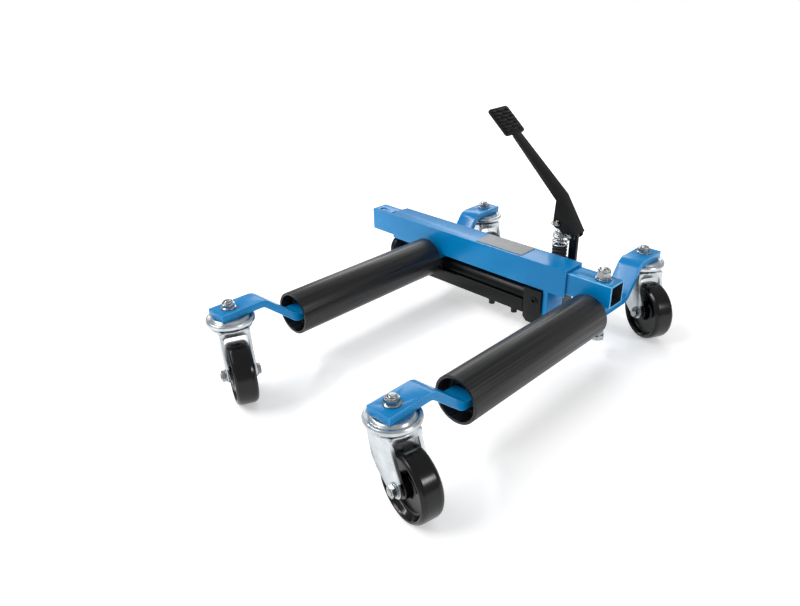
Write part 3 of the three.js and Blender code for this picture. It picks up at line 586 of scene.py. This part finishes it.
# The fork is pressed from one sheet: a round cup on top, two flat legs with a turned-in front
# edge, and a bridge between them with an arched opening for the wheel.
def forkForm(trail, axleHeight, forkTop, seat):
    sheet, half, back, front = caster["sheet"], caster["half"], caster["back"], caster["front"]
    outer, lowTop, inset = half + sheet, forkTop - sheet, half - caster["lip"]
    leg = [
        (back, forkTop - 1 * mm), (back + 2 * mm, axleHeight + 48 * mm), (back + 9 * mm, axleHeight + 20 * mm),
        (back + 22 * mm, axleHeight + 5 * mm), (trail - 20 * mm, axleHeight - 8 * mm),
    ]
    for step in range(13):
        angle = math.pi * (1.28 + 0.76 * step / 12)
        leg.append((trail + caster["lug"] * math.cos(angle), axleHeight + caster["lug"] * math.sin(angle)))
    leg += [(front - 1 * mm, forkTop - 12 * mm), (front - 1 * mm, forkTop - 1 * mm)]
    legOutline = roundCorners(leg, [0, 20 * mm, 16 * mm, 14 * mm, 8 * mm] + [0] * 13 + [10 * mm, 0], 6)
    lip = [
        (front - 1 * mm, forkTop - 2 * mm), (front - 1 * mm, forkTop - 12 * mm),
        (trail + 10.5 * mm, axleHeight + 16 * mm), (trail + 7.4 * mm, axleHeight + 16 * mm),
        (front - 4 * mm, forkTop - 12 * mm), (front - 4 * mm, forkTop - 2 * mm),
    ]
    plan = roundCorners(rectangle(back, front, -outer, outer), caster["shoulder"], 6)
    shoulders = softened(slab(plan, lowTop - 3 * mm, forkTop), 2.4 * mm, 4, 60)
    hollow = boxForm(back - 5 * mm, front - sheet, -half, half, axleHeight, lowTop)
    arch = [
        (-outer, forkTop - 2 * mm), (-outer, lowTop - 15 * mm), (-inset, lowTop - 15 * mm),
        (-inset, forkTop - caster["bridge"]), (inset, forkTop - caster["bridge"]),
        (inset, lowTop - 15 * mm), (outer, lowTop - 15 * mm), (outer, forkTop - 2 * mm),
    ]
    archRound = roundCorners(arch, [r * mm for r in (0, 3, 1, 5.5, 5.5, 1, 3, 0)], 6)
    bridge = moved(slab(archRound, front - sheet, front), endOn)
    wide, narrow = caster["cup"], caster["seat"]
    cup = turned(roundCorners([
        (0, lowTop), (wide, lowTop), (wide, forkTop - 0.6 * mm), (wide - 3 * mm, forkTop + 0.6 * mm),
        (narrow, forkTop + 0.8 * mm), (narrow, seat), (0, seat),
    ], [r * mm for r in (0, 0.6, 1.5, 0.8, 0, 0.4, 0)], 3), 72)
    steps = [("DIFFERENCE", hollow), ("UNION", bridge), ("UNION", cup)]
    for sign in (-1, 1):
        for inFace, outFace, outline in ((half, outer, legOutline), (inset, outer - 0.2 * mm, lip)):
            nearY, farY = sorted((sign * inFace, sign * outFace))
            steps.append(("UNION", moved(slab(outline, -farY, -nearY), upright)))
    boss, bossTop = caster["boss"], caster["bossHeight"]
    for sign in (-1, 1):
        face = basis((trail, sign * (outer - 0.1 * mm), axleHeight), along, across * sign)
        pad = turned([(0, 0), (boss, 0), (boss - 0.5 * mm, bossTop), (0, bossTop)], 40)
        steps.append(("UNION", moved(pad, face)))
    bore = ring(0, caster["stemHole"], -60 * mm, 60 * mm, sides=40)
    stemBore = ring(0, caster["stemHole"], 100 * mm, 160 * mm, sides=40)
    axleBase = basis((trail, 0, axleHeight), along, across)
    steps += [("DIFFERENCE", moved(bore, axleBase)), ("DIFFERENCE", stemBore)]
    return softened(carve(shoulders, steps), caster["edge"], 2, 40)


# Half the wheel's section from the bore out, mirrored: hub, dished web, rim and crowned tread.
def wheelForm(radius, halfWidth):
    hub, rim, web = 15 * mm, radius - 6 * mm, 5.5 * mm
    half = [
        (6.2 * mm, halfWidth + 1.8 * mm), (9.5 * mm, halfWidth + 1.8 * mm), (10.2 * mm, halfWidth + 0.8 * mm),
        (hub - 1 * mm, halfWidth + 0.8 * mm), (hub, halfWidth - 0.4 * mm), (hub + 1.5 * mm, web + 1 * mm),
        (hub + 4 * mm, web), (rim - 5 * mm, web + 0.5 * mm), (rim - 2 * mm, halfWidth - 3 * mm),
        (rim - 0.6 * mm, halfWidth - 0.6 * mm), (rim + 0.6 * mm, halfWidth), (radius - 4 * mm, halfWidth),
        (radius - 0.9 * mm, halfWidth - 3.2 * mm), (radius, halfWidth - 7 * mm),
    ]
    rounding = [0.3, 0.5, 0.3, 0.8, 0.8, 2, 3, 4, 2, 0.6, 0.8, 1.6, 2.4, 4]
    loop = [(r, -h) for r, h in half] + [(r, h) for r, h in reversed(half)]
    return turned(roundCorners(loop, [r * mm for r in rounding + rounding[::-1]], 4), 112)


# Axle bolt along local Y: washer and head at its far end, washer and nut at its near end.
def axleForm(faceOut):
    flats, nutTop, washerTop = caster["axleFlats"], caster["axleNut"], caster["washerHeight"]
    washer = lambda: ring(0, caster["axleWasher"], 0, washerTop, [0, 0.3, 0.4, 0], 40)
    head = merged(washer(), hexagonal(flats, 0, washerTop + 0.05 * mm, caster["axleHead"]))
    nut = merged(
        washer(), hexagonal(flats, 0, washerTop + 0.05 * mm, nutTop),
        threaded(caster["axle"] - 0.6 * mm, nutTop, caster["axleReach"]),
    )
    shank = ring(0, caster["axle"], -faceOut, faceOut, sides=40)
    return merged(
        moved(head, basis((0, faceOut, 0), along, across)), moved(nut, basis((0, -faceOut, 0), along, -across)),
        moved(shank, basis((0, 0, 0), along, across)),
    )


raceTop, raceLow = high("raceway_front_left").z, low("raceway_front_left").z
forkCrown = high("fork_front_left").z
axleHeight = middle("wheel_front_left").z
forkTop = high("arm_left").z - caster["underArm"]
wheelRadius = high("wheel_front_left").z - axleHeight
nutSeat, nutTop = low("stem_nut_front_left").z, high("stem_nut_front_left").z
for place in places:
    base, trail = casterBase(place)
    finished(f"raceway_{place}", moved(racewayForm(raceLow, raceTop), base), zincPlate, f"raceway_{place}")
    fork = forkForm(trail, axleHeight, forkTop, forkCrown)
    finished(f"fork_{place}", moved(fork, base), zincPlate, f"fork_{place}")
    hub = base @ Vector((trail, 0, axleHeight))
    spin = basis(hub, base.to_3x3() @ along, base.to_3x3() @ across)
    wheel = wheelForm(wheelRadius, caster["wheelHalf"])
    finished(f"wheel_{place}", moved(wheel, spin), wheelBlack, f"wheel_{place}")
    axle = axleForm(caster["half"] + caster["sheet"] + caster["axleGap"])
    axle = moved(axle, base @ Matrix.Translation((trail, 0, axleHeight)))
    finished(f"axle_{place}", axle, zincFastener, f"axle_bolt_{place}")
    hole, flange = caster["stemHole"], caster["flange"]
    nut = merged(
        turned(roundCorners([
            (hole, nutSeat), (flange, nutSeat), (flange, nutSeat + 1.4 * mm),
            (flange - 2.4 * mm, nutSeat + 2.8 * mm), (hole, nutSeat + 2.8 * mm),
        ], [r * mm for r in (0, 0.3, 0.6, 0.8, 0)], 3)),
        hexagonal(caster["nutFlats"], hole, nutSeat + 2.4 * mm, nutTop - 2.2 * mm),
        ring(hole, caster["collar"], nutTop - 2.4 * mm, nutTop, [0, 0, 1.2, 0.2], 48, 4),
    )
    finished(f"stemNut_{place}", moved(nut, base), zincFastener, f"stem_nut_{place}")
    headLow = low(f"stem_bolt_{place}").z
    headTop = headLow + caster["headHeight"]
    stem = merged(
        ring(0, caster["stemHead"], headLow, headTop, [0, 2, 0.4, 0], steps=6),
        ring(0, caster["stem"], headTop + 0.02 * mm, nutTop - 2.5 * mm, sides=40),
        domedEnd(caster["stem"], nutTop - 2.4 * mm, nutTop + caster["reach"], caster["dome"]),
    )
    finished(f"stemBolt_{place}", moved(stem, base), zincFastener, f"stem_bolt_{place}")
print("casters made")

roller = {
    "radius": 37 * mm, "wall": 4.5 * mm, "hub": 25 * mm, "sides": 96, "fit": 0.3 * mm, "flange": 3.4 * mm,
    "slotHalf": 20.3 * mm, "slotHeight": 6.3 * mm,
}
for side in ("left", "right"):
    tubeLow, tubeHigh = low(f"roller_{side}"), high(f"roller_{side}")
    axis = basis((middle(f"roller_{side}").x, 0, middle(f"roller_{side}").z), along, across)
    inside = roller["radius"] - roller["wall"]
    tube = ring(inside, roller["radius"], tubeLow.y, tubeHigh.y, [0.7, 1.0, 1.0, 0.7], roller["sides"])
    finished(f"roller_{side}", moved(tube, axis), tubeBlack, f"roller_{side}")
    for end in ("front", "rear"):
        node = f"roller_bush_{side}_{end}"
        near, far = low(node).y, high(node).y
        hub, fit, flange = roller["hub"], roller["fit"], roller["flange"]
        ringPoints = [
            (hub + fit, near), (hub + flange - 0.4 * mm, near), (hub + flange, near + 1 * mm),
            (inside - fit, near + 1 * mm), (inside - fit, far), (hub + fit, far),
        ]
        bush = turned(roundCorners(ringPoints, [r * mm for r in (0.3, 0.5, 0.3, 0.6, 0.6, 0.3)], 3), 72)
        finished(node, moved(bush, axis), bushNylon, node)
        node = f"roller_hub_{side}_{end}"
        near, far = low(node).y, high(node).y
        disc = moved(ring(0, hub, near, far, [0, 0.8, 0.8, 0]), axis)
        centre = middle(node)
        slotForm = boxForm(
            centre.x - roller["slotHalf"], centre.x + roller["slotHalf"], near - 1 * mm, far + 1 * mm,
            centre.z - roller["slotHeight"], centre.z + roller["slotHeight"],
        )
        finished(node, carve(disc, [("DIFFERENCE", slotForm)]), enamelBlack, node)
print("rollers made")

# Hydraulic ram: the neck reaches from the barrel's left end to its cap, and a groove follows it.
ram = {
    "barrel": 22 * mm, "bore": 18 * mm, "rod": 10 * mm, "head": 27 * mm, "lug": 16 * mm, "gland": 15.5 * mm,
    "neck": 42 * mm, "fit": 0.3 * mm, "piston": 18 * mm, "sealDepth": 2.2 * mm, "headEdge": 0.5 * mm,
    "cradleEdge": 1.2 * mm,
}
ramMiddle = middle("ram_barrel")
ramBase = basis((0, ramMiddle.y, ramMiddle.z), up, along)
barrelLow, barrelHigh = low("ram_barrel").x, high("ram_barrel").x
cap, barrelRadius, throat = barrelLow + ram["neck"], ram["barrel"], ram["rod"] + ram["fit"]
barrel = turned(roundCorners([
    (throat, barrelLow), (ram["gland"], barrelLow), (ram["gland"], cap), (barrelRadius - 3 * mm, cap),
    (barrelRadius - 1 * mm, cap + 1.5 * mm), (barrelRadius - 1 * mm, cap + 11 * mm),
    (barrelRadius - 2 * mm, cap + 11.6 * mm), (barrelRadius - 2 * mm, cap + 13.4 * mm),
    (barrelRadius, cap + 14 * mm), (barrelRadius, barrelHigh), (ram["bore"], barrelHigh),
    (ram["bore"], cap + 16 * mm), (throat, cap + 16 * mm),
], [r * mm for r in (0.4, 0.8, 1, 0.6, 0.6, 0.3, 0, 0, 0.5, 0.5, 0, 0, 0.3)], 3), 96)
finished("ramBarrel", moved(barrel, ramBase), enamelBlack, "ram_barrel")
rodLow, rodHigh = low("ram_rod").x, high("ram_rod").x
pistonLow, piston = rodHigh - ram["piston"], ram["bore"] - ram["fit"]
sealFloor = piston - ram["sealDepth"]
ramRod = turned(roundCorners([
    (0, rodLow), (ram["rod"], rodLow), (ram["rod"], pistonLow), (piston, pistonLow), (piston, pistonLow + 6 * mm),
    (sealFloor, pistonLow + 6 * mm), (sealFloor, pistonLow + 11 * mm), (piston, pistonLow + 11 * mm),
    (piston, rodHigh), (0, rodHigh),
], [r * mm for r in (0, 0.4, 0.4, 0.5, 0.4, 0.2, 0.2, 0.4, 0.5, 0)], 3), 64)
finished("ramRod", moved(ramRod, ramBase), chromeRod, "ram_rod")
headLow, headHigh = low("crosshead"), high("crosshead")
disc = moved(ring(0, ram["head"], headLow.x, headHigh.x, [0, 1.2, 1.2, 0], 96, 4), ramBase)
lug = boxForm(
    headLow.x, headHigh.x, ramMiddle.y - ram["lug"] / 2, ramMiddle.y + ram["lug"] / 2, ramMiddle.z, headHigh.z,
)
crosshead = softened(carve(disc, [("UNION", lug)]), ram["headEdge"], 2, 50)
finished("crosshead", crosshead, enamelBlack, "crosshead")
finished("barrelCradle", softened(fromCad("barrel_cradle"), ram["cradleEdge"]), enamelBlack, "barrel_cradle")

# Two small hexagon screws on the cradle's underside.
cradleScrews = {"flats": 11 * mm, "washer": 7.2 * mm, "reach": 10 * mm, "at": [0.69, 0.905], "inset": 7.6 * mm}
cradleLow, cradleHigh = low("barrel_cradle"), high("barrel_cradle")
for number, share in enumerate(cradleScrews["at"]):
    x = cradleLow.x + (cradleHigh.x - cradleLow.x) * share
    screw = merged(
        ring(0, cradleScrews["washer"], 0, 1.2 * mm, sides=40),
        hexagonal(cradleScrews["flats"], 0, 1.25 * mm, cradleScrews["reach"]),
    )
    placed = moved(screw, basis((x, cradleLow.y + cradleScrews["inset"], cradleLow.z - 0.05 * mm), along, -up))
    finished(f"cradleScrew_{number}", placed, enamelBlack, body="frame")

# Edge widths of the black parts that keep the CAD's own shape.
bevels = {"pump_block": 1.4 * mm, "fulcrum_link": 0.7 * mm, "pedal_lever": 1.3 * mm}
finished("pumpBlock", softened(fromCad("pump_block"), bevels["pump_block"], 3, 45), enamelBlack, "pump_block")

# Release valve: a socket-headed screw in the block's face, and the ring that it sits in.
valve = {
    "radius": 6 * mm, "socket": 6 * mm, "deep": 6 * mm,
    "seat": 6.6 * mm, "seatOuter": 8.6 * mm, "proud": 0.9 * mm,
}
valveLow, valveHigh = low("release_valve"), high("release_valve")
valveAt = middle("release_valve")
screw = ring(0, valve["radius"], valveLow.y, valveHigh.y, [0, 0.8, 0.5, 0], 48)
socket = hexagonal(valve["socket"], 0, valveLow.y - 1 * mm, valveLow.y + valve["deep"], 0.999)
valveBase = basis((valveAt.x, 0, valveAt.z), along, across)
screw = moved(carve(screw, [("DIFFERENCE", socket)]), valveBase)
finished("releaseValve", screw, enamelBlack, "release_valve", sharp=28)
seatFace = low("pump_block").y
seatRing = ring(
    valve["seat"], valve["seatOuter"], seatFace - valve["proud"], seatFace + 0.2 * mm, [0.3, 0.4, 0, 0], 48,
)
finished("valveSeat", moved(seatRing, valveBase), enamelBlack, body="frame")

plunger = {
    "rod": 7 * mm, "eyeHalf": 6.5 * mm, "pinHole": 4.3 * mm, "boot": 14 * mm, "ribs": 4, "wire": 1.4 * mm,
    "spring": 13.6 * mm, "turns": 4.2, "deadTurns": 0.8, "pressed": 0.5, "pin": 4 * mm, "fit": 0.3 * mm,
    "edge": 0.5 * mm,
}
rodAt, rod = middle("plunger_rod"), plunger["rod"]
rodBase = basis((rodAt.x, rodAt.y, 0), along, up)
bootLow, bootHigh = low("plunger_boot").z, high("plunger_boot").z
boot, bootBore, pitch = plunger["boot"], rod + 0.8 * mm, (bootHigh - bootLow) / plunger["ribs"]
bootLoop = [(bootBore, bootLow)]
for rib in range(plunger["ribs"]):
    foot = bootLow + rib * pitch
    bootLoop += [(boot - 2.6 * mm, foot + 0.2 * mm), (boot, foot + pitch * 0.4), (boot, foot + pitch * 0.62)]
bootLoop += [(boot - 2.4 * mm, bootHigh - 0.2 * mm), (boot - 3 * mm, bootHigh), (bootBore, bootHigh)]
bellows = moved(turned(roundCorners(bootLoop, 0.9 * mm, 4), 72), rodBase)
finished("plungerBoot", bellows, bootRubber, "plunger_boot")
pinZ = middle("plunger_pin").z
shaft = ring(0, rod, low("plunger_rod").z, pinZ - 9 * mm, sides=56)
eyeOutline = [(-rod, pinZ - 12 * mm), (rod, pinZ - 12 * mm)]
for step in range(17):
    angle = math.pi * step / 16
    eyeOutline.append((rod * math.cos(angle), pinZ + rod * math.sin(angle)))
eye = moved(slab(eyeOutline, -plunger["eyeHalf"], plunger["eyeHalf"]), upright)
pinBore = ring(0, plunger["pinHole"], -20 * mm, 20 * mm, sides=40)
pinBore = moved(pinBore, basis((0, 0, pinZ), along, across))
shaft = softened(carve(shaft, [("UNION", eye), ("DIFFERENCE", pinBore)]), plunger["edge"], 2, 50)
finished("plungerRod", moved(shaft, rodBase), chromeRod, "plunger_rod")

# A flat washer under a coned one holds the spring's upper end.
retainer = {"washer": 13 * mm, "washerTop": 1.6 * mm, "cone": 11 * mm, "coneTop": 10.4 * mm}
discLow, discHigh = low("spring_retainer").z, high("spring_retainer").z
inner, coneLow = rod + plunger["fit"], discLow + retainer["washerTop"] + 0.1 * mm
stack = merged(
    ring(inner, retainer["washer"], discLow, discLow + retainer["washerTop"], [0, 0.4, 0.5, 0]),
    turned(roundCorners([
        (inner, coneLow), (retainer["cone"], coneLow), (retainer["coneTop"], discHigh), (inner, discHigh),
    ], [0, 0.4 * mm, 0.6 * mm, 0], 3)),
)
finished("springRetainer", moved(stack, rodBase), zincFastener, "spring_retainer")

# The spring's end coils lie flat and the ones between them climb.
springLow, springHigh = low("return_spring").z + plunger["wire"], high("return_spring").z - plunger["wire"]
springPoints, radius = [], plunger["spring"]
for step in range(241):
    turns = plunger["turns"] * step / 240
    climbing = min(max((turns - plunger["deadTurns"]) / (plunger["turns"] - 2 * plunger["deadTurns"]), 0), 1)
    climb = 0.8 * climbing + 0.2 * (0.5 - 0.5 * math.cos(math.pi * climbing))
    angle = 2 * math.pi * turns
    height = springLow + (springHigh - springLow) * climb
    springPoints.append((radius * math.cos(angle), radius * math.sin(angle), height))
coil = moved(swept(springPoints, plunger["wire"], 12), rodBase)
spring = finished("returnSpring", coil, springWire, "return_spring", body="frame")
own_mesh(spring)

splitPin = {
    "radius": 0.8 * mm, "loop": 3.4 * mm, "leg": 9 * mm, "inset": 2.2 * mm, "hole": 4 * mm, "half": 0.9 * mm,
}


# A plain pin; where it is clipped, a bent brass split pin holds its front end.
def clevisPin(node, name, clipped=True):
    start, end = low(node).y, high(node).y
    spot = middle(node)
    pin = ring(0, plunger["pin"], start, end, [0, 0.7, 0.7, 0], 40)
    finished(name, moved(pin, basis((spot.x, 0, spot.z), along, across)), zincFastener, node)
    if not clipped:
        return
    loop, y = splitPin["loop"], start + splitPin["inset"]
    eyePoints = []
    for step in range(25):
        angle = math.radians(-60 + 300 * step / 24)
        eyePoints.append((spot.x - loop * 1.9 - loop * math.cos(angle), y, spot.z + loop * math.sin(angle)))
    legX = lambda share: spot.x + splitPin["leg"] * share - splitPin["hole"]
    upperZ, lowerZ = spot.z + splitPin["half"], spot.z - splitPin["half"]
    upper = [(legX(share), y, upperZ + 6 * mm * max(share - 0.7, 0)) for share in (0.9, 0.6, 0.3, 0)]
    lower = [(legX(share), y, lowerZ - 1.5 * mm * max(share - 0.7, 0)) for share in (0, 0.3, 0.6, 1.0)]
    path = upper + eyePoints + lower   # the tips bend apart past 0.7 of the leg
    finished(f"{name}Clip", swept(path, splitPin["radius"], 10), brassWire, body=bodyOf[node])


clevisPin("plunger_pin", "plungerPin")
clevisPin("fulcrum_pin", "fulcrumPin")
clevisPin("link_foot_pin", "linkFootPin", clipped=False)
link = softened(fromCad("fulcrum_link"), bevels["fulcrum_link"], 3, 45)
finished("fulcrumLink", link, enamelBlack, "fulcrum_link")
print("ram and pump made")

lever = softened(fromCad("pedal_lever"), bevels["pedal_lever"], 3, 45)
finished("pedalLever", lever, enamelBlack, "pedal_lever")

# Pad: rounded plate, rows of short bars across it, and a fillet on each side of the lever's neck.
pad = {
    "slope": math.radians(40.97), "thickness": 5 * mm, "length": 60.2 * mm, "width": 54.6 * mm, "corner": 6 * mm,
    "edge": 1.1 * mm, "rows": 7, "rowPitch": 7.4 * mm, "barWidth": 3.6 * mm, "barHeight": 1.4 * mm,
    "neck": (-10 * mm, 12 * mm), "fillet": 4.5 * mm,
    "twoBars": [(-0.43, -0.04), (0.04, 0.43)], "threeBars": [(-0.43, -0.25), (-0.17, 0.17), (0.25, 0.43)],
}
padAlong = Vector((-math.cos(pad["slope"]), 0, math.sin(pad["slope"])))
padFacing = Vector((math.sin(pad["slope"]), 0, math.cos(pad["slope"])))
padTipX = low("pedal_pad").x + pad["thickness"] * padFacing.x
padTip = Vector((padTipX, middle("pedal_pad").y, high("pedal_pad").z))
padBase = basis(padTip - padAlong * pad["length"], padAlong, padFacing)   # local Y runs to the front
halfPad, halfBar = pad["width"] / 2, pad["barWidth"] / 2
padOutline = roundCorners(rectangle(0, pad["length"], -halfPad, halfPad), pad["corner"], 8)
tread = [softened(slab(padOutline, -pad["thickness"], 0), pad["edge"], 3, 50)]
for row in range(pad["rows"]):
    x = pad["length"] / 2 + (row - (pad["rows"] - 1) / 2) * pad["rowPitch"]
    for start, end in pad["twoBars"] if row % 2 else pad["threeBars"]:
        outline = rectangle(x - halfBar, x + halfBar, start * pad["width"], end * pad["width"])
        bar = slab(roundCorners(outline, 1.4 * mm, 4), -0.3 * mm, pad["barHeight"])
        tread.append(softened(bar, 0.6 * mm, 2, 50))
for sign, neck in zip((1, -1), (-pad["neck"][0], -pad["neck"][1])):
    edge, reach = neck + sign * 0.05 * mm, pad["fillet"]
    wedge = [(0.5 * mm, edge), (-reach, edge)]
    for step in range(1, 8):
        angle = math.pi / 2 * step / 8
        wedge.append((-reach + reach * math.sin(angle), edge + sign * reach * (1 - math.cos(angle))))
    wedge += [(0, edge + sign * reach), (0.5 * mm, edge + sign * reach)]
    tread.append(slab(wedge, -3 * mm, -0.4 * mm))
finished("pedalPad", moved(merged(*tread), padBase), enamelBlack, "pedal_pad")
print("pedal made")

# A pale matt floor that gives off a little light, so that it comes out white to the edges.
floorLook = {
    "Base Color": fromHex("#F7F7F7"), "Roughness": 0.9,
    "Emission Color": fromHex("#FFFFFF"), "Emission Strength": 0.34,
}
floorHalf, floorTop = 40, -0.2 * mm
floor = newObject("floor", boxForm(-floorHalf, floorHalf, -floorHalf, floorHalf, -20 * mm, floorTop))
floor.data.materials.append(newFinish("paleFloor", floorLook)[0])

world = bpy.data.worlds.new("studio")
bpy.context.scene.world = world
world.use_nodes = True
world.node_tree.nodes["Background"].inputs["Color"].default_value = (1, 1, 1, 1)
world.node_tree.nodes["Background"].inputs["Strength"].default_value = 0.48

# One soft sun for an even floor, two boxes for the highlights, and a strip for the tubes' edges.
lamps = {
    "sun": {"kind": "SUN", "at": (-0.9, -1.7, 2.1), "angle": 24, "power": 1.05},
    "back": {"kind": "AREA", "at": (-1.6, 1.7, 1.35), "size": (1.9, 0.9), "power": 17},
    "side": {"kind": "AREA", "at": (2.45, 0.3, 1.4), "size": (0.45, 0.45), "power": 12},
    "edge": {"kind": "AREA", "at": (-1.45, -0.85, 2.0), "size": (1.4, 0.14), "power": 20},
}
lampsAim = Vector((0, 0, 0.1))
for name, lamp in lamps.items():
    light = bpy.data.lights.new(name, lamp["kind"])
    light.energy = lamp["power"]
    if lamp["kind"] == "SUN":
        light.angle = math.radians(lamp["angle"])
    else:
        light.shape = "RECTANGLE"
        light.size, light.size_y = lamp["size"]
    holder = bpy.data.objects.new(name, light)
    holder.location = lamp["at"]
    holder.rotation_euler = (lampsAim - holder.location).to_track_quat("-Z", "Y").to_euler()
    bpy.context.scene.collection.objects.link(holder)

view = {
    "at": (0.71082, -0.75642, 0.62533), "yaw": 45.60, "pitch": -27.35, "roll": -1.38,
    "lens": 30.09, "shiftX": -0.0086,
}
yaw, pitch, roll = (math.radians(view[key]) for key in ("yaw", "pitch", "roll"))
ahead = Vector((-math.sin(yaw) * math.cos(pitch), math.cos(yaw) * math.cos(pitch), math.sin(pitch)))
rightward = Vector((math.cos(yaw), math.sin(yaw), 0))
upward = rightward.cross(ahead)
right = rightward * math.cos(roll) + upward * math.sin(roll)
top = upward * math.cos(roll) - rightward * math.sin(roll)
cameraData = bpy.data.cameras.new("camera")
cameraData.sensor_width = 36
cameraData.lens = view["lens"]
cameraData.shift_x = view["shiftX"]
cameraData.clip_end = 200
camera = bpy.data.objects.new("camera", cameraData)
camera.matrix_world = Matrix.Translation(view["at"]) @ Matrix((right, top, -ahead)).transposed().to_4x4()
bpy.context.scene.collection.objects.link(camera)
bpy.context.scene.camera = camera
bpy.context.scene.view_settings.view_transform = "Standard"
print("studio set")
